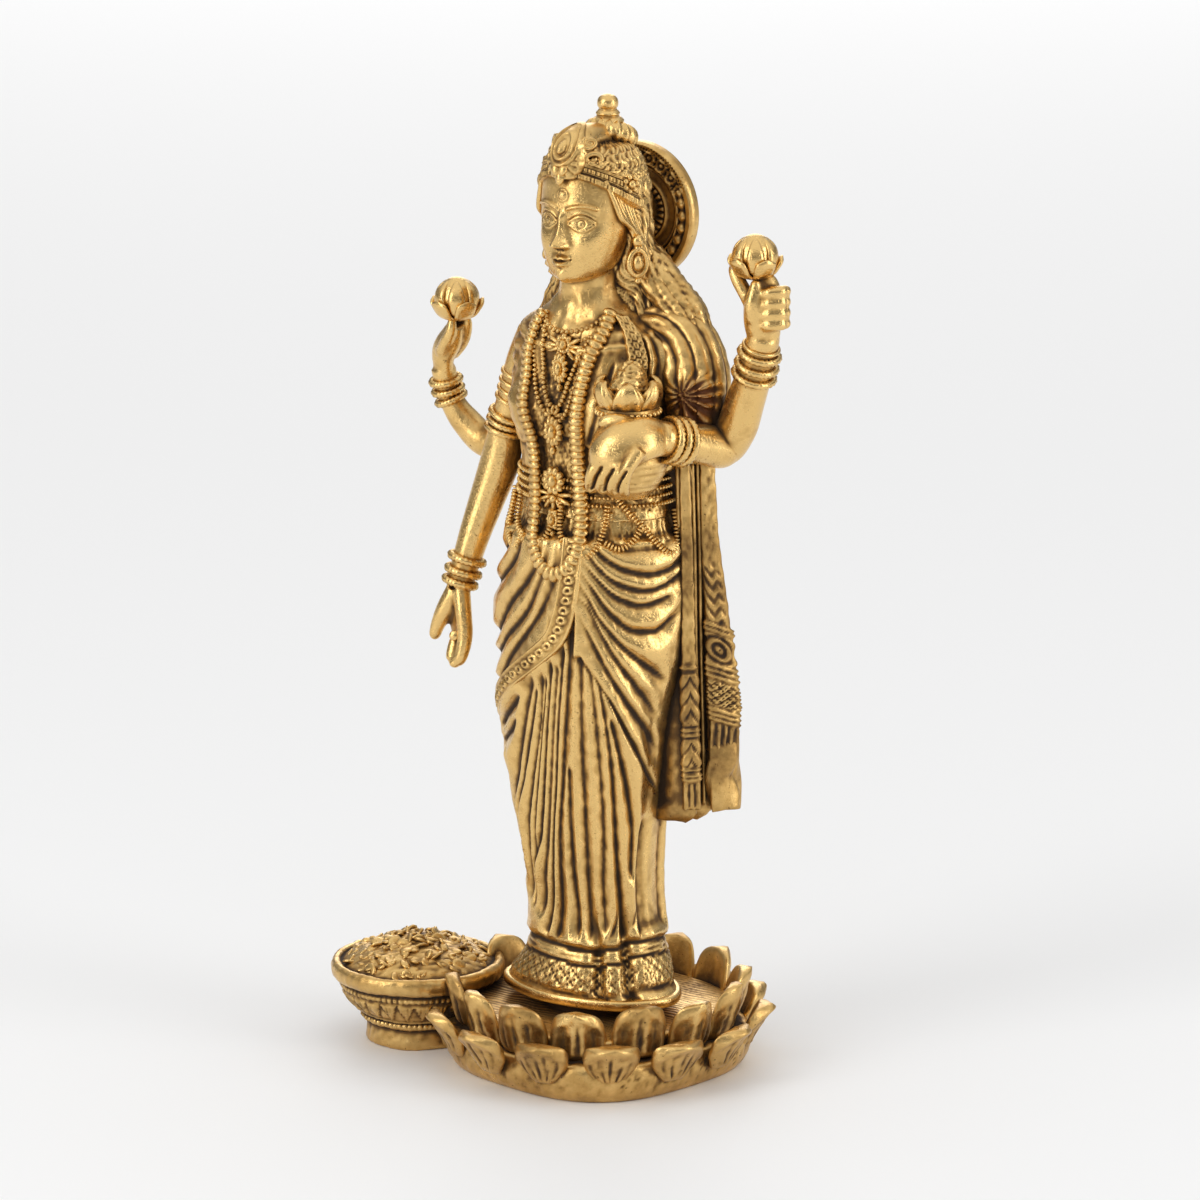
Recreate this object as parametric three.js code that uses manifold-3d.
// A cast brass figure of a standing goddess with four arms, on a double lotus that carries a bowl of coins.
// Millimetres, +Z up. +X is the figure's left, -Y its front. The origin is the middle of the lotus's underside.

import * as THREE from 'three';
import { mergeVertices } from 'three/addons/utils/BufferGeometryUtils.js';
import Module from 'manifold-3d';

// Driving size of the figure: underside of the foot disc to the tip of the topknot
const FIGURE_HEIGHT = 282;

// Driving sizes of the foot disc
const FOOT_DISC_WIDTH = 62;
const FOOT_DISC_DEPTH = 41;
const FOOT_DISC_THICKNESS = 3;

// Driving sizes of the halo
const HALO_RADIUS = 21.4;
const HALO_THICKNESS = 5;
const HALO_PLATE = 2.2; // thickness inside the rim
const HALO_RIM = 5; // width of the rim
const HALO_TEETH = 12;
const HALO_TOOTH = 0.5; // how far a tooth stands out of the rim

// Driving sizes of the lotus
const SEAT_HEIGHT = 22.5; // underside to the top of the boss that the figure stands on
const SEAT_GAP = 0.3; // left between the boss and the foot disc
const SEAT_INSET = 5; // how far the boss stays inside the foot disc
const LOTUS_RADIUS = 43.2; // foot of the wall, before its lobes
const LOTUS_FLARE = 2.2; // how much the wall swells above its foot
const LOTUS_EDGE = 1.2; // cut off its lower corner
const LOTUS_LEDGE_HEIGHT = 12.5; // trough behind the lower petals
const LOTUS_FLOOR = 19; // floor round the boss
const LEDGE_WIDTH = 2.2; // from the foot of the wall in to the upper petals
const LOBE_COUNT = 4;
const LOTUS_SIDES = 26;
const LOBE_SHARE = 0.05; // swing of the wall's radius at the lobes
const LOBE_ANGLE = 36; // degrees from +X to the first lobe
const PETAL_COUNT = 14;
const PETAL_COVER = 0.774; // share of the way round the wall's foot that a row of petals takes
const PETAL_THICKNESS = 3.4;
const PETAL_SINK = 1; // how far a petal's foot is rooted in the lotus
const PETAL_ANGLE = -62.3; // degrees from +X to the first upper petal
const UPPER_PETAL_TOP = 30.5;
const UPPER_PETAL_SPREAD = 5; // how much further out its tip is than its foot
const LOWER_PETAL_FOOT = 5.5;
const LOWER_PETAL_TOP = 22;
const LOWER_PETAL_SPREAD = 9.6;

// Driving sizes of the bowl
const BOWL_RADIUS = 27.4;
const BOWL_HEIGHT = 26;
const BOWL_RIM = 3.4; // width of the rim
const BOWL_RIM_DEPTH = 6;
const BOWL_FOOT_RADIUS = 16.2;
const BOWL_FOOT_HEIGHT = 6.5;
const BOWL_MOULDING = 2.6; // height of the ring above the foot
const BOWL_SIDES = 18;
const COIN_HEAP = 7; // rise of the heap above the rim
const BOWL_OVERLAP = 9; // how far the bowl's rim reaches over the lotus wall
const BOWL_ANGLE = 193.5; // degrees from +X to the bowl
const WEB_WIDTH = 24; // metal between bowl and lotus
const WEB_HEIGHT = 12;

const BRASS = { color: 0xc9a04a, roughness: 0.34, metalness: 1 };

const TURN = Math.PI * 2;
const { sin, cos, exp, abs, min, max, hypot, sqrt, sign, PI } = Math;
const radians = THREE.MathUtils.degToRad;
const bell = (distance, width) => exp(-((distance / width) ** 2));

const wasm = await Module();
wasm.setup();

// A closed skin over rings of points with both ends closed. point(u, v) gives a corner:
// u runs round a ring from 0 to 1 and v from the first ring to the last.
function ringsGeometry(around, along, point) {
  const positions = [];
  const faces = [];
  for (let j = 0; j <= along; j++) {
    for (let i = 0; i < around; i++) positions.push(...point(i / around, j / along));
  }
  for (let j = 0; j < along; j++) {
    for (let i = 0; i < around; i++) {
      const a = j * around + i;
      const b = j * around + ((i + 1) % around);
      faces.push(a, b, b + around, a, b + around, a + around);
    }
  }
  for (const row of [0, along]) {
    const middle = positions.length / 3;
    const centre = new THREE.Vector3();
    for (let i = 0; i < around; i++) {
      const a = row * around + i;
      const b = row * around + ((i + 1) % around);
      centre.add(new THREE.Vector3().fromArray(positions, a * 3));
      if (row) faces.push(a, b, middle);
      else faces.push(b, a, middle);
    }
    positions.push(...centre.divideScalar(around).toArray());
  }
  const geometry = new THREE.BufferGeometry();
  geometry.setAttribute('position', new THREE.Float32BufferAttribute(positions, 3));
  geometry.setIndex(faces);
  return geometry;
}

function signedVolume(geometry) {
  const p = geometry.getAttribute('position');
  const index = geometry.getIndex().array;
  const [a, b, c] = [new THREE.Vector3(), new THREE.Vector3(), new THREE.Vector3()];
  let total = 0;
  for (let i = 0; i < index.length; i += 3) {
    a.fromBufferAttribute(p, index[i]);
    b.fromBufferAttribute(p, index[i + 1]);
    c.fromBufferAttribute(p, index[i + 2]);
    total += a.dot(b.cross(c)) / 6;
  }
  return total;
}

// A solid from a closed geometry, with its faces turned outwards.
function solid(geometry) {
  geometry.deleteAttribute('normal');
  geometry.deleteAttribute('uv');
  const merged = mergeVertices(geometry, 1e-4);
  const triVerts = Uint32Array.from(merged.getIndex().array);
  if (signedVolume(merged) < 0) {
    for (let i = 0; i < triVerts.length; i += 3) {
      [triVerts[i], triVerts[i + 1]] = [triVerts[i + 1], triVerts[i]];
    }
  }
  const vertProperties = Float32Array.from(merged.getAttribute('position').array);
  return new wasm.Manifold(new wasm.Mesh({ numProp: 3, vertProperties, triVerts }));
}

const join = (solids) => solids.reduce((whole, piece) => whole.add(piece));

function meshOf(name, whole) {
  const { vertProperties, triVerts } = whole.getMesh();
  const geometry = new THREE.BufferGeometry();
  geometry.setAttribute('position', new THREE.BufferAttribute(vertProperties, 3));
  geometry.setIndex(new THREE.BufferAttribute(triVerts, 1));
  geometry.computeVertexNormals();
  const mesh = new THREE.Mesh(geometry, new THREE.MeshStandardMaterial(BRASS));
  mesh.name = name;
  return mesh;
}

// The figure is drawn 282 units tall from its own underside, and one unit becomes `unit` millimetres.
const unit = FIGURE_HEIGHT / 282;
const FOOT_Z = SEAT_HEIGHT + SEAT_GAP;
const onFoot = (x, y, z) => [x * unit, y * unit, FOOT_Z + z * unit];

// Values at a key in a table of rows [key, ...values], straight between the rows.
function between(rows, key) {
  let k = 0;
  while (k < rows.length - 2 && key > rows[k + 1][0]) k++;
  const [a, b] = [rows[k], rows[k + 1]];
  const t = THREE.MathUtils.clamp((key - a[0]) / (b[0] - a[0]), 0, 1);
  return a.slice(1).map((value, i) => value + (b[i + 1] - value) * t);
}

// Heights of the rows of a table with more put in wherever two are over `gap` apart.
function levels(rows, gap) {
  const heights = [rows[0][0]];
  for (let k = 1; k < rows.length; k++) {
    const [low, high] = [rows[k - 1][0], rows[k][0]];
    const steps = Math.ceil((high - low) / gap);
    for (let i = 1; i <= steps; i++) heights.push(low + ((high - low) * i) / steps);
  }
  return heights;
}

// A limb through stations [x, y, z, radius], round, or flattened by `flat` along the way it faces.
function limb(stations, { sides = 7, rows = 6, flat = 1, facing = [0, -1, 0], swell = () => 1 } = {}) {
  const path = new THREE.CatmullRomCurve3(stations.map((s) => new THREE.Vector3(...s)));
  const face = new THREE.Vector3(...facing);
  const last = stations.length - 1;
  return solid(ringsGeometry(sides, rows, (u, v) => {
    const centre = path.getPoint(v);
    const along = path.getTangent(v);
    const across = new THREE.Vector3().crossVectors(along, face).normalize();
    const out = new THREE.Vector3().crossVectors(across, along).normalize();
    const k = min(last - 1, Math.floor(v * last));
    const t = v * last - k;
    const r = (stations[k][3] * (1 - t) + stations[k + 1][3] * t) * swell(v, u);
    centre.addScaledVector(across, r * cos(u * TURN)).addScaledVector(out, r * flat * sin(u * TURN));
    return onFoot(...centre.toArray());
  }));
}

// A turned piece from [radius, height] pairs that start and end on the axis, stood at x, y.
function turned(profile, segments, x, y) {
  const geometry = new THREE.LatheGeometry(profile.map(([r, z]) => new THREE.Vector2(r, z)), segments);
  geometry.rotateX(PI / 2);
  geometry.translate(x, y, 0);
  return solid(geometry);
}

// Oval sections stacked by a table of [height, middle y, half width, depth in front, depth behind].
function stack(rows, { sides, gap, lift = () => 0, rise = () => 0 }) {
  const heights = levels(rows, gap);
  return solid(ringsGeometry(sides, heights.length - 1, (u, v) => {
    const z = heights[Math.round(v * (heights.length - 1))];
    const [y, side, front, behind] = between(rows, z);
    const angle = (u - 0.5) * TURN;
    const depth = cos(angle) > 0 ? front : behind;
    const extra = rise(angle, z);
    return onFoot((side + extra) * sin(angle), y - (depth + extra) * cos(angle), z + lift(angle, z));
  }));
}

// Body

// Sections of the body: height, middle x and y, half width, depth in front and depth behind.
const BODY = [
  [1, -1.3, -1, 29.5, 19.5, 18.5],
  [6, -1, -0.5, 26.2, 19.5, 18.0],
  [13, 0, 0.5, 22.6, 19.0, 16.8],
  [14, 0, 0.5, 23.0, 19.4, 17.2],
  [17, 0, 0.5, 22.0, 18.6, 16.6],
  [18, 0, 0.5, 20.4, 17.3, 15.3],
  [30, -0.5, 0, 19.6, 16.0, 15.0],
  [46, -1.5, -1, 21.0, 17.3, 16.0],
  [62, -2.6, -1, 23.4, 18.8, 17.0],
  [94, -3, -0.5, 27.4, 21.8, 20.0],
  [126, -2, 0, 30.2, 23.2, 21.0],
  [145, 0, 0, 28.5, 22.0, 20.0],
  [157.5, 0, 0, 25.5, 19.5, 18.0],
  [159, 0, 0, 26.8, 20.8, 19.2],
  [164, 0, 0, 26.4, 20.4, 19.0],
  [165.5, 0, 0, 24.9, 19.2, 17.8],
  [188, 0, 0, 26.5, 20.0, 18.0],
  [203, 0, 0, 27.5, 18.5, 17.0],
  [212, 0, -1, 22.5, 15.5, 15.0],
  [218, 0, -2, 15.0, 12.0, 13.0],
  [223, 0, -3, 9.8, 9.8, 10.0],
  [234, 0, -4, 9.0, 9.0, 9.2],
];
const BREASTS = [[33, 188], [-31, 188]];
const BREAST_RISE = 4.8;
const BREAST_WIDTH = 9;
const GIRTH = 25; // turns an angle round the body into a length

function breasts(angle, z) {
  const swell = ([a, h]) => BREAST_RISE * bell(hypot((angle - radians(a)) * GIRTH, z - h), BREAST_WIDTH);
  return BREASTS.reduce((sum, breast) => sum + swell(breast), 0);
}

// Point of the body at an angle from its front towards its left and a height, raised by `rise`.
function bodyPoint(angle, z, rise = 0) {
  const [x, y, side, front, behind] = between(BODY, z);
  const depth = cos(angle) > 0 ? front : behind;
  const out = rise + breasts(angle, z);
  return [x + (side + out) * sin(angle), y - (depth + out) * cos(angle), z];
}

// Angles below are in degrees from the front towards the figure's left.
// Swags hang from a seam near the middle and fall towards both sides. Rows of the grid follow them,
// a crest and a hollow in turn.
const SWAGS = {
  top: 150, deepest: 100, low: 22, middle: 19, seam: 8, reach: 72, drop: 36, count: 6, proud: 1.9,
};
// Pleats fan from under the swags to the hem. Columns of the grid follow them in the same way.
const PLEATS = {
  top: 104, topFrom: 2, topTo: 37, low: 18, lowFrom: -38, lowTo: 68, count: 6, proud: 1.8,
};
const PLAIN_COLUMNS = 12; // the rest of the way round
const BACK_SPREAD = 0.45; // how much wider apart the plain columns are at the back
const BODY_GAP = 15; // widest step between plain rows
const ROW_MARGIN = 3; // least step between a plain row and the swags' rows

function swagDrop(degrees, z) {
  const { top, deepest, low, middle, reach, drop } = SWAGS;
  const depth = z > deepest ? (top - z) / (top - deepest) : (z - low) / (deepest - low);
  const away = min(1, abs(degrees - middle) / reach);
  return drop * THREE.MathUtils.clamp(depth, 0, 1) * away ** 0.8;
}

// Angle in degrees of column i of the grid at a height.
function columnAt(i, z) {
  const pleatColumns = PLEATS.count * 2;
  const fan = THREE.MathUtils.smoothstep(z, PLEATS.low, PLEATS.top);
  const spread = THREE.MathUtils.smoothstep(z, PLEATS.top, SWAGS.top + BODY_GAP);
  const from = PLEATS.lowFrom + (PLEATS.topFrom - PLEATS.lowFrom) * (fan - spread);
  const to = PLEATS.lowTo + (PLEATS.topTo - PLEATS.lowTo) * (fan - spread);
  if (i <= pleatColumns) return from + ((to - from) * i) / pleatColumns;
  const t = (i - pleatColumns) / PLAIN_COLUMNS;
  return to + (360 + from - to) * (t - (BACK_SPREAD * sin(t * TURN)) / TURN);
}

function body() {
  const swagRows = SWAGS.count * 2;
  const swagZ = (k) => SWAGS.deepest + ((SWAGS.top - SWAGS.deepest) * k) / swagRows;
  const below = levels(BODY, BODY_GAP).filter((z) => z < SWAGS.deepest - ROW_MARGIN);
  const above = levels(BODY, BODY_GAP).filter((z) => z > SWAGS.top + ROW_MARGIN);
  const heights = [...below, ...Array.from({ length: swagRows + 1 }, (_, k) => swagZ(k)), ...above];
  const columns = PLEATS.count * 2 + PLAIN_COLUMNS;
  return solid(ringsGeometry(columns, heights.length - 1, (u, v) => {
    const row = Math.round(v * (heights.length - 1));
    const column = Math.round(u * columns);
    const z = heights[row];
    const degrees = columnAt(column, z);
    const signed = THREE.MathUtils.euclideanModulo(degrees + 180, 360) - 180;
    const swagRow = row - below.length;
    const swagCrest = swagRow > 0 && swagRow < swagRows && swagRow % 2 === 1;
    const pleatCrest = z > PLEATS.low && row < below.length && column < PLEATS.count * 2 && column % 2 === 1;
    const towardFront = max(0.2, cos(radians(signed)));
    const offSeam = abs(signed - SWAGS.middle) > SWAGS.seam;
    const rise = (swagCrest && offSeam ? SWAGS.proud * towardFront : 0) + (pleatCrest ? PLEATS.proud : 0);
    return onFoot(...bodyPoint(radians(degrees), z - swagDrop(signed, z), rise));
  }));
}

// Patterned border of the cloth, from the waist down across the right thigh, in degrees and heights
const BORDER = [[16, 142], [14, 125], [-9, 107], [-40, 93], [-70, 84]];
const BORDER_WIDTH = 4.6;
const BORDER_PROUD = 2.2;
const BORDER_STEPS = 8;

function border() {
  const line = new THREE.SplineCurve(BORDER.map(([angle, z]) => new THREE.Vector2(angle, z)));
  const stations = line.getPoints(BORDER_STEPS).map(({ x, y }) => [...bodyPoint(radians(x), y), BORDER_WIDTH]);
  const flat = BORDER_PROUD / BORDER_WIDTH;
  return limb(stations, { sides: 6, rows: BORDER_STEPS, flat, facing: [-0.3, -1, 0] });
}

const DISC_SIDES = 24;

function footDisc() {
  const edge = 0.96; // share of the rounded edge
  const rows = [[0, edge], [0.5, 1], [1, edge]];
  return solid(ringsGeometry(DISC_SIDES, rows.length - 1, (u, v) => {
    const [share, size] = rows[Math.round(v * (rows.length - 1))];
    const x = BODY[0][1] * unit + (FOOT_DISC_WIDTH / 2) * size * cos(u * TURN);
    const y = BODY[0][2] * unit + (FOOT_DISC_DEPTH / 2) * size * sin(u * TURN);
    return [x, y, FOOT_Z + FOOT_DISC_THICKNESS * share];
  }));
}

// Shawl down the back, squared off at its corners: height, half width and depth behind
const SHAWL = [
  [58, 33.0, 24.5],
  [63, 35.5, 27.0],
  [90, 34.0, 28.5],
  [130, 33.0, 27.5],
  [165, 33.0, 25.5],
  [190, 32.0, 23.0],
  [205, 28.0, 19.0],
  [213, 18.0, 13.0],
];
const SHAWL_FRONT = 5; // how far forward of the middle it reaches at the sides
const SHAWL_PLEATS = 12; // right round it
const SHAWL_PLEAT_RISE = 0.9;
const SHAWL_GAP = 40; // widest step between its rows

function shawl() {
  const heights = levels(SHAWL, SHAWL_GAP);
  const squared = (t) => sign(t) * sqrt(abs(t));
  return solid(ringsGeometry(SHAWL_PLEATS * 2, heights.length - 1, (u, v) => {
    const z = heights[Math.round(v * (heights.length - 1))];
    const [side, back] = between(SHAWL, z);
    const angle = u * TURN;
    const pleat = sin(angle) > 0 ? SHAWL_PLEAT_RISE * cos(angle * SHAWL_PLEATS) : 0;
    const y = sin(angle) > 0 ? (back + pleat) * squared(sin(angle)) : SHAWL_FRONT * sin(angle);
    return onFoot((side + pleat) * squared(cos(angle)), y, z);
  }));
}

// The two ends of the shawl that hang at the left: stations of x, y, z and half width
const OUTER_END = [
  [35, 9.5, 170, 2.4], [34.8, 10.5, 147, 3.2], [35.6, 11.5, 128, 3.8],
  [37, 13, 109, 4.6], [37.2, 14, 93, 5], [34.6, 15, 80.5, 4.2],
];
const INNER_END = [
  [33.4, 0.5, 172, 2.1], [32.8, 1.5, 142, 2.2], [31.6, 3, 117, 2.4], [31, 5, 91, 2.6], [31, 6, 63, 3],
];
const hanging = { sides: 5, rows: 5, flat: 0.7, facing: [0.8, -0.6, 0] };
const shawlEnds = () => [limb(OUTER_END, hanging), limb(INNER_END, hanging)];

// Cloth over the left shoulder, pleated along its length
const SLEEVE = [
  [13, 4, 213, 7], [24, 5.5, 211.5, 9], [30.5, 5, 206, 9.8],
  [32.5, 4, 198, 11], [33.8, 3, 189, 9.8], [35, 2, 179, 8],
];
const SLEEVE_PLEATS = 10; // right round it
const SLEEVE_PLEAT_SHARE = 0.07; // of its radius
const pleated = (v, u) => 1 + SLEEVE_PLEAT_SHARE * cos(u * TURN * SLEEVE_PLEATS);
const sleeve = () => limb(SLEEVE, { sides: SLEEVE_PLEATS * 2, rows: 6, swell: pleated });

// Arms: stations of x, y, z and radius from the shoulder to the wrist
const LOWER_RIGHT_ARM = [
  [-23, 0, 207, 6], [-27.5, 0, 197, 6], [-31, 0, 186, 5.8], [-35, 0, 174.7, 5.4],
  [-36.6, -0.5, 164, 6], [-40.2, -3, 152, 5.4], [-43, -6, 140.5, 4.6], [-45.6, -8.8, 128, 3.8],
];
const LOWER_LEFT_ARM = [
  [34, 4, 184, 7], [43, 4, 178.6, 6.6], [42, -5, 180.6, 6.2], [40, -13, 182.6, 5.8], [37.5, -20.5, 184.6, 5.2],
];
const UPPER_RIGHT_ARM = [
  [-27, 6, 190, 6], [-38, 8, 174, 5.4], [-47.5, 8, 167.5, 5.2],
  [-55.6, 7, 172.8, 4.7], [-59.8, 4.4, 180.4, 3.8], [-61, 2, 190.5, 3.9],
];
const UPPER_LEFT_ARM = [
  [32, 7, 190, 8], [41, 6, 178.5, 6.6], [48, 4.5, 184, 6.3],
  [52.5, 3, 193.5, 6], [56.8, 1.5, 202.6, 5.4], [61.4, 0, 215.5, 5],
];

// Arm rings stand proud of an arm between two shares of its length
const RING_SHARE = 1.2;
const ringed = (from, to) => (v) => (v > from && v < to ? RING_SHARE : 1);
const ARMLET = ringed(0.38, 0.42);
const LOW_BANGLES = ringed(0.88, 0.98);
const ELBOW_BANGLES = ringed(0.7, 0.9);
const RAISED_BANGLES = ringed(0.78, 0.95);

function arms() {
  return [
    limb(LOWER_RIGHT_ARM, { sides: 6, rows: 12, swell: (v) => ARMLET(v) * LOW_BANGLES(v) }),
    limb(LOWER_LEFT_ARM, { sides: 7, rows: 7, facing: [0, 0, 1], swell: ELBOW_BANGLES }),
    limb(UPPER_RIGHT_ARM, { sides: 6, rows: 9, swell: RAISED_BANGLES }),
    limb(UPPER_LEFT_ARM, { sides: 6, rows: 9, swell: RAISED_BANGLES }),
  ];
}

// A hand: a flattened palm and single fingers, or a palm that runs on into four fingers side by side
const hand = ({ palm, flat = 0.55, facing, fingers }) => [
  limb(palm, { sides: 6, rows: 3, flat, facing }),
  ...fingers.map((finger) => limb(finger, { sides: 4, rows: 2 })),
];
const FINGER_SHARE = 0.1; // swell of the fingers, of a palm's half width
const FINGER_RIBS = 6; // round the joined fingers
const fingered = (v, u) => (v > 0.5 ? 1 + FINGER_SHARE * cos(u * TURN * FINGER_RIBS) : 1);
const ribbedHand = ({ palm, flat = 0.5, facing, thumb }) => [
  limb(palm, { sides: FINGER_RIBS * 2, rows: 4, flat, facing, swell: fingered }),
  limb(thumb, { sides: 4, rows: 2 }),
];

const lowerRightHand = () => ribbedHand({
  palm: [
    [-45.6, -8.8, 128, 3.8], [-47.4, -10, 120.5, 5.6], [-46.6, -11.2, 114, 5.6],
    [-45.4, -12.6, 107.5, 4.8], [-44.9, -13.4, 101, 3],
  ],
  facing: [-0.45, -0.9, 0],
  thumb: [[-49, -9.5, 122, 2.4], [-53.5, -10.5, 115, 2.3], [-56, -12, 108, 1.5]],
});

const lowerLeftHand = () => ribbedHand({
  palm: [
    [37.5, -20.5, 184.6, 5.2], [36.5, -27, 185.5, 6.8], [32.5, -33, 183.5, 8],
    [27.5, -36.4, 179, 8], [25, -36, 174, 7], [24, -34, 170, 4.6],
  ],
  facing: [0.3, -0.7, 0.6],
  thumb: [[35, -24, 188, 2.4], [29, -28, 190, 2.2], [24.5, -30, 189.5, 1.5]],
});

const upperRightHand = () => hand({
  palm: [[-61, 2, 190, 4], [-60, 1, 195.6, 4.8], [-56.2, 0, 200.7, 4.6], [-53.4, -1, 205.8, 3.2]],
  facing: [-0.5, -0.86, 0],
  fingers: [
    [[-57, -2, 198, 2.1], [-53.5, -4, 202.5, 2], [-52.4, -4.6, 208, 1.5]],
    [[-58.5, 2, 199, 2.2], [-56.5, 2.5, 205, 2], [-55.6, 2, 210, 1.5]],
  ],
});

const upperLeftHand = () => hand({
  palm: [[61.4, 0, 215.5, 5], [61.4, 0, 221, 6.4], [61.8, 0, 226.4, 6.6], [62.6, 0.5, 231, 4.8]],
  facing: [0.6, -0.8, 0],
  fingers: [
    [[56.8, -2.5, 224, 2.1], [53.2, -3, 231, 1.9], [50.6, -3, 236.5, 1.4]],
    [[58.6, -3.5, 221, 2.3], [58.6, -4.5, 227, 2], [58.2, -3, 233, 1.8]],
    [[64, -3, 224, 2], [66.4, -3, 228, 2], [66.6, -1, 230.5, 1.6]],
  ],
});

// Lotus buds: a ball of folded petals in a cup of pointed sepals
const BUDS = [
  { at: [-53.2, -1, 213.5], radius: 6.4 },
  { at: [58.3, -2, 238.6], radius: 6.9 },
];
const BUD_SEPALS = 5;
const SEPAL_SHARE = 0.16; // how far the cup stands out, of a bud's radius

function bud({ at: [x, y, z], radius }) {
  return solid(ringsGeometry(BUD_SEPALS * 2, 5, (u, v) => {
    const tilt = PI * (0.05 + 0.9 * v);
    const cup = SEPAL_SHARE * bell(v - 0.45, 0.16) * cos(u * PI * BUD_SEPALS) ** 2;
    const r = radius * (1 + cup);
    const out = r * sin(tilt);
    return onFoot(x + out * cos(u * TURN), y + out * sin(u * TURN), z - radius * cos(tilt));
  }));
}

// Pot held at the chest, with leaves and a coconut. The profile gives radii and heights.
const POT = { x: 25.4, y: -19.5, low: 165 };
const POT_PROFILE = [
  [0, 0], [6.4, 0], [10.8, 7], [11.8, 12.5], [10.2, 19], [7.6, 22.5], [9.4, 26], [9, 28], [0, 28],
];
const POT_MOUTH = POT.low + POT_PROFILE[POT_PROFILE.length - 1][1];
const POT_LEAVES = 5;
const COCONUT = [[0, 0, -1, 5], [-0.4, 1, 8, 5.4], [-1, 2, 14, 4], [-1.5, 2.5, 19, 1.4]]; // above the mouth

function pot() {
  const profile = POT_PROFILE.map(([r, z]) => [r * unit, FOOT_Z + (POT.low + z) * unit]);
  return turned(profile, 12, POT.x * unit, POT.y * unit);
}

function potLeaves() {
  const leaves = Array.from({ length: POT_LEAVES }, (_, k) => {
    const [dx, dy] = [cos((k / POT_LEAVES) * TURN), sin((k / POT_LEAVES) * TURN)];
    const at = (reach, z, r) => [POT.x + dx * reach, POT.y + dy * reach, z, r];
    const stations = [at(3, POT_MOUTH - 1, 3.4), at(7.4, POT_MOUTH + 4, 4.2), at(8.6, POT_MOUTH + 9, 1.2)];
    return limb(stations, { sides: 4, rows: 2, facing: [dx, dy, 0], flat: 0.55 });
  });
  const nut = COCONUT.map(([x, y, z, r]) => [POT.x + x, POT.y + y, POT_MOUTH + z, r]);
  return [...leaves, limb(nut, { sides: 6, rows: 3 })];
}

// Head and hair: height, middle y, half width, depth in front and behind
const HEAD = [
  [227.6, -10, 5, 6.6, 6],
  [229.4, -9, 8.6, 9.8, 9],
  [233, -7.6, 11.2, 11.6, 12],
  [238, -6.4, 13, 12.8, 13],
  [244, -5.4, 14.2, 13.4, 14],
  [250, -5, 14.6, 13.6, 15],
  [257, -5, 13.8, 12.6, 15],
];
const NOSE = { z: 242, rise: 3.2, width: 3, height: 3.4 };
const HAIR = [
  [212, 5, 24, 9, 9],
  [219, 4.5, 21.5, 8.5, 11],
  [226, 3.5, 17.5, 9, 12],
  [236, 2.5, 15.8, 10, 12.5],
  [248, 1.5, 15.2, 10, 13],
  [256, 0.5, 15.4, 10, 13],
];
const FACE_GIRTH = 14; // turns an angle round the head into a length
const face = (angle, z) => NOSE.rise * bell(angle * FACE_GIRTH, NOSE.width) * bell(z - NOSE.z, NOSE.height);
const head = () => stack(HEAD, { sides: 16, gap: 7, rise: face });

const HAIR_WAVES = 8;
const HAIR_WAVE_RISE = 0.6;
const HAIR_LOCKS = [
  [8, 7, 236, 5], [16, 7, 228.5, 6], [23, 7.2, 221.4, 6.2], [28.5, 7.4, 216.5, 5.8], [34, 6, 209, 4.4],
];
const hair = () => [
  stack(HAIR, { sides: HAIR_WAVES * 2, gap: 14, rise: (angle) => HAIR_WAVE_RISE * cos(angle * HAIR_WAVES) }),
  limb(HAIR_LOCKS, { sides: 6, rows: 4 }),
];

// Crown: a dome with a raised plate in front, a rolled ring and a topknot behind it
const CROWN = [
  [250, -2, 15.8, 15.6, 13.4],
  [254, -2, 17, 17, 14.4],
  [255, -2, 16.2, 16.2, 13.8],
  [259.5, -1.5, 15.6, 15.6, 13.4],
  [263.5, -0.5, 12.6, 12.8, 11.6],
  [266.5, 1, 8.6, 8.6, 9],
  [268, 2, 4, 4, 4],
];
const CROWN_FRONT_LIFT = 3; // the band rises at the front
const CROWN_PLATE = [
  [0, -17, 254, 3.4], [0, -17.2, 261.5, 6.6], [0, -15.4, 267.5, 7], [0, -12, 272, 5.4], [0, -9.6, 275.2, 2],
];
const CROWN_PLATE_FLAT = 0.62;
const TOPKNOT = [
  [0, 7, 261, 6], [0, 6.4, 269, 5], [0, 5.6, 274, 4.6], [0, 5.1, 276.6, 2.6],
  [0, 5, 277.6, 2.4], [0, 5, 279.4, 3], [0, 5, 281.3, 1.8], [0, 5, 282, 0.4],
];
const ROLL = { y: 6.6, rise: 2, radius: 5, tube: 3, tilt: -0.42 }; // rise above the top of the dome

function crown() {
  const [low, high] = [CROWN[0][0], CROWN[CROWN.length - 1][0]];
  const lift = (angle, z) => (CROWN_FRONT_LIFT * cos(angle) * (high - z)) / (high - low);
  const roll = new THREE.TorusGeometry(ROLL.radius * unit, ROLL.tube * unit, 6, 10);
  roll.rotateX(ROLL.tilt);
  roll.translate(...onFoot(0, ROLL.y, high + ROLL.rise));
  return [
    stack(CROWN, { sides: 14, gap: 9, lift }),
    limb(CROWN_PLATE, { sides: 7, rows: 4, flat: CROWN_PLATE_FLAT }),
    solid(roll),
    limb(TOPKNOT, { sides: 6, rows: 10 }),
  ];
}

// Halo: a wheel with a toothed rim, on a lug behind the hair
const HALO = { y: 23.2, z: 244 };

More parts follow.
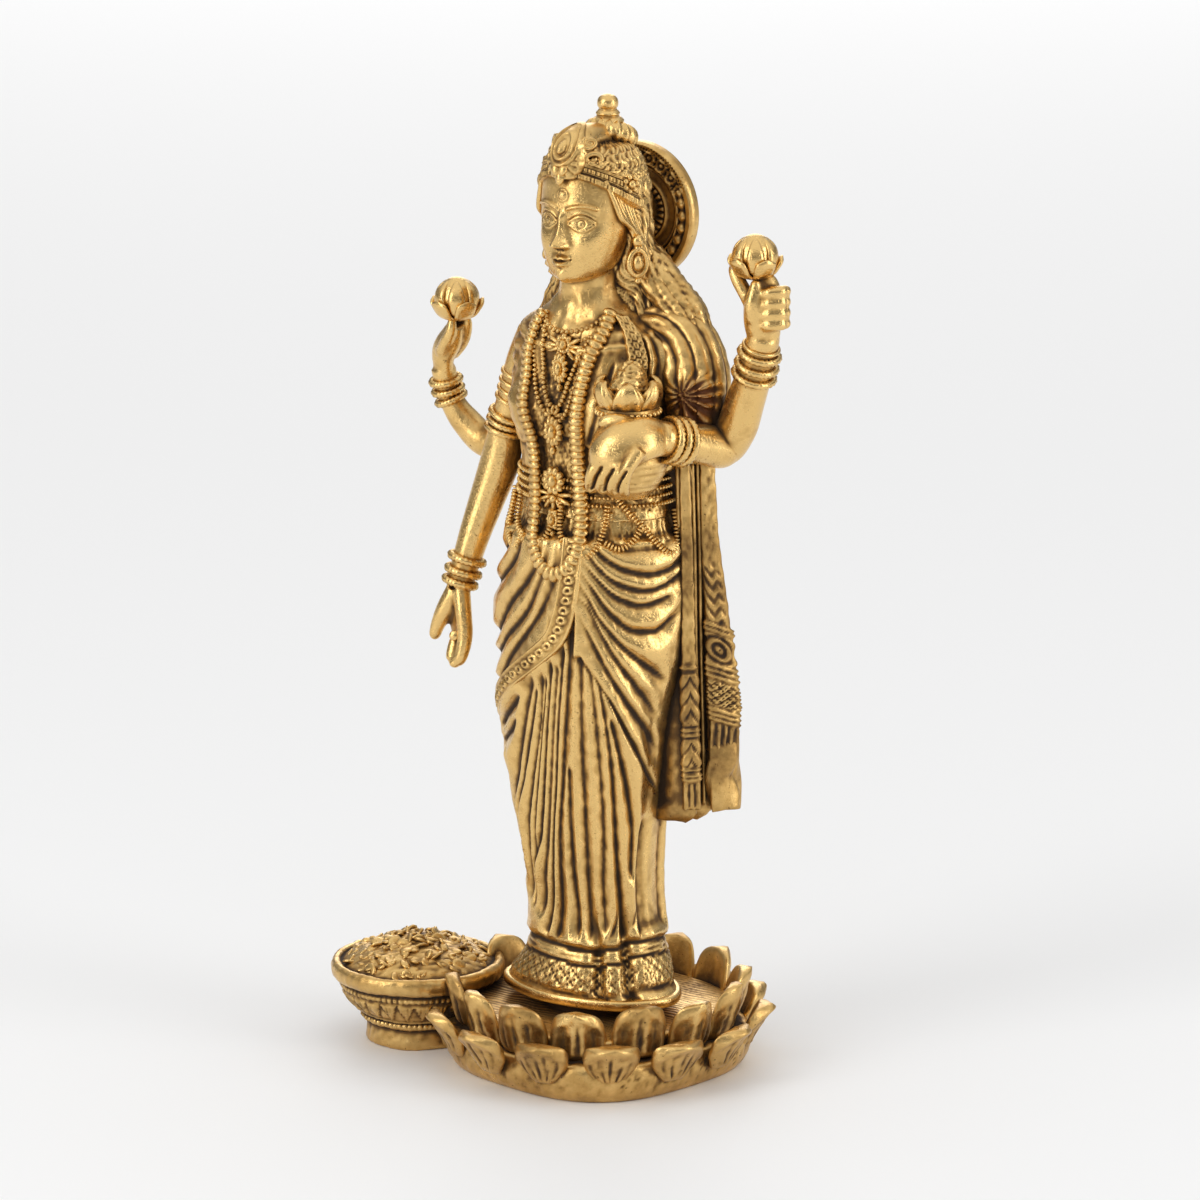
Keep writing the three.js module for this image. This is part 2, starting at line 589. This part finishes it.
function halo() {
  const [r, inner, t] = [HALO_RADIUS, HALO_RADIUS - HALO_RIM, HALO_THICKNESS];
  const profile = [
    [0, 0], [r - 0.6, 0], [r, t - 1.6], [r - 1.2, t - 0.4],
    [inner + 0.8, t - 0.4], [inner, HALO_PLATE], [0, HALO_PLATE],
  ];
  const geometry = new THREE.LatheGeometry(profile.map(([x, y]) => new THREE.Vector2(x, -y)), HALO_TEETH * 2);
  const p = geometry.getAttribute('position');
  for (let i = 0; i < p.count; i++) {
    const onRim = p.getY(i) < HALO_TOOTH - t;
    const tooth = onRim ? HALO_TOOTH * cos(Math.atan2(p.getZ(i), p.getX(i)) * HALO_TEETH) : 0;
    p.setY(i, p.getY(i) - tooth);
  }
  geometry.translate(...onFoot(0, HALO.y, HALO.z));
  const lug = [[0, 6, HALO.z + 1, 7.5], [0, 14, HALO.z + 1, 7.5], [0, HALO.y - 1, HALO.z, 7]];
  return [solid(geometry), limb(lug, { sides: 8, rows: 2, facing: [0, 0, 1] })];
}

// Long garland of beads, from both shoulders to below the belt, in degrees from the front and heights
const GARLAND = [
  [-26, 214], [-20, 205], [-27, 190], [-28, 174], [-24, 158], [-14, 146], [2, 139],
  [13, 146], [18, 158], [17, 180], [18, 194], [27, 206], [44, 214],
];
const GARLAND_RADIUS = 2.1;
const GARLAND_STEPS = 16;

function garland() {
  const line = new THREE.SplineCurve(GARLAND.map(([a, z]) => new THREE.Vector2(a, z)));
  const points = line.getPoints(GARLAND_STEPS);
  const stations = points.map(({ x, y }) => [...bodyPoint(radians(x), y, GARLAND_RADIUS / 3), GARLAND_RADIUS]);
  return limb(stations, { sides: 4, rows: GARLAND_STEPS, facing: [0.2, -1, 0.1] });
}

function figure() {
  return join([
    body(), border(), footDisc(), shawl(), ...shawlEnds(), sleeve(), ...arms(),
    ...lowerRightHand(), ...lowerLeftHand(), ...upperRightHand(), ...upperLeftHand(), ...BUDS.map(bud),
    pot(), ...potLeaves(), head(), ...hair(), ...crown(), ...halo(), garland(),
  ]);
}

// Lotus

const lobed = (angle) => 1 + LOBE_SHARE * cos(LOBE_COUNT * (angle - radians(LOBE_ANGLE)));

// Share of a petal's width at shares of its height: full and rounded, with a blunt point
const PETAL_WIDTHS = [[0, 0.92], [0.45, 1], [0.8, 0.84], [0.95, 0.46], [1, 0.2]];
const PETAL_BULGE = 2.2; // how far its middle stands out
const PETAL_WIDTH = (PETAL_COVER * TURN * LOTUS_RADIUS) / PETAL_COUNT;
const PETAL_CUP = 2.4; // how far its edges turn in

// A cupped petal at a place round the lotus, from its foot up and out to its tip.
function petal({ angle, footRadius, footZ, spread, tipZ }) {
  const last = PETAL_WIDTHS.length - 1;
  return solid(ringsGeometry(4, last, (u, v) => {
    const [height, share] = PETAL_WIDTHS[Math.round(v * last)];
    const s = (PETAL_WIDTH / 2) * share * cos(u * TURN);
    const thick = (PETAL_THICKNESS / 2) * (1 - height / 2) * sin(u * TURN);
    const r = footRadius + spread * height ** 1.5 + PETAL_BULGE * sin(height * PI) + thick
      - PETAL_CUP * (s / PETAL_WIDTH * 2) ** 2;
    return [r * cos(angle) - s * sin(angle), r * sin(angle) + s * cos(angle), footZ + (tipZ - footZ) * height];
  }));
}

const LEDGE_RADIUS = LOTUS_RADIUS - LEDGE_WIDTH;
const UPPER_PETAL = {
  footRadius: LEDGE_RADIUS - PETAL_SINK,
  footZ: LOTUS_LEDGE_HEIGHT + PETAL_SINK,
  spread: UPPER_PETAL_SPREAD,
  tipZ: UPPER_PETAL_TOP,
};
const LOWER_PETAL = {
  footRadius: LOTUS_RADIUS + LOTUS_FLARE - PETAL_SINK,
  footZ: LOWER_PETAL_FOOT,
  spread: LOWER_PETAL_SPREAD,
  tipZ: LOWER_PETAL_TOP,
};

function petals() {
  const step = TURN / PETAL_COUNT;
  const towardBowl = radians(BOWL_ANGLE);
  const clear = Math.asin(BOWL_FOOT_RADIUS / LOTUS_RADIUS); // lower petals stop where the bowl stands
  const all = [];
  for (let k = 0; k < PETAL_COUNT; k++) {
    const angle = radians(PETAL_ANGLE) + k * step;
    all.push(petal({ angle, ...UPPER_PETAL }));
    const low = angle + step / 2;
    const away = abs(Math.atan2(sin(low - towardBowl), cos(low - towardBowl)));
    if (away > clear) all.push(petal({ angle: low, ...LOWER_PETAL }));
  }
  return all;
}

function plinth() {
  const [r, swollen] = [LOTUS_RADIUS, LOTUS_RADIUS + LOTUS_FLARE];
  const seat = FOOT_DISC_DEPTH / 2 - SEAT_INSET;
  const profile = [
    [r - LOTUS_EDGE, 0], [r, LOTUS_EDGE], [swollen, LOTUS_LEDGE_HEIGHT / 2], [swollen, LOTUS_LEDGE_HEIGHT],
    [LEDGE_RADIUS, LOTUS_LEDGE_HEIGHT], [LEDGE_RADIUS, LOTUS_FLOOR],
    [seat, LOTUS_FLOOR], [seat, SEAT_HEIGHT],
  ];
  const walls = 4; // rows of the profile that follow the lobes
  return solid(ringsGeometry(LOTUS_SIDES, profile.length - 1, (u, v) => {
    const k = Math.round(v * (profile.length - 1));
    const radius = profile[k][0] * (k < walls ? lobed(u * TURN) : 1);
    return [radius * cos(u * TURN), radius * sin(u * TURN), profile[k][1]];
  }));
}

function bowl() {
  const angle = radians(BOWL_ANGLE);
  const reach = LOTUS_RADIUS + BOWL_RADIUS - BOWL_OVERLAP;
  const [r, foot, inside] = [BOWL_RADIUS, BOWL_FOOT_RADIUS, BOWL_RADIUS - BOWL_RIM];
  const [under, moulding] = [BOWL_HEIGHT - BOWL_RIM_DEPTH, BOWL_FOOT_HEIGHT + BOWL_MOULDING];
  const wall = [
    [0, 0], [foot, 0], [foot, BOWL_FOOT_HEIGHT], [foot + 1.2, BOWL_FOOT_HEIGHT + 0.8],
    [foot + 1.2, moulding - 0.6], [foot + 0.4, moulding], [r - 3.4, under], [r - 0.8, under + 1.6],
    [r, BOWL_HEIGHT - 2.4], [r - 1, BOWL_HEIGHT],
  ];
  const heap = [0.03, 0.6].map((t) => [inside * cos(t), BOWL_HEIGHT - 0.8 + (COIN_HEAP + 0.8) * sin(t)]);
  const profile = [...wall, ...heap, [0, BOWL_HEIGHT + COIN_HEAP]];
  const web = new THREE.BoxGeometry(reach - LOTUS_RADIUS, WEB_WIDTH, WEB_HEIGHT);
  web.translate((reach + LOTUS_RADIUS) / 2 - BOWL_RIM, 0, WEB_HEIGHT / 2);
  web.rotateZ(angle);
  return [turned(profile, BOWL_SIDES, reach * cos(angle), reach * sin(angle)), solid(web)];
}

const group = new THREE.Group();
group.add(meshOf('goddess_figure', figure()));
group.add(meshOf('lotus_base', join([plinth(), ...petals(), ...bowl()])));

export default group;
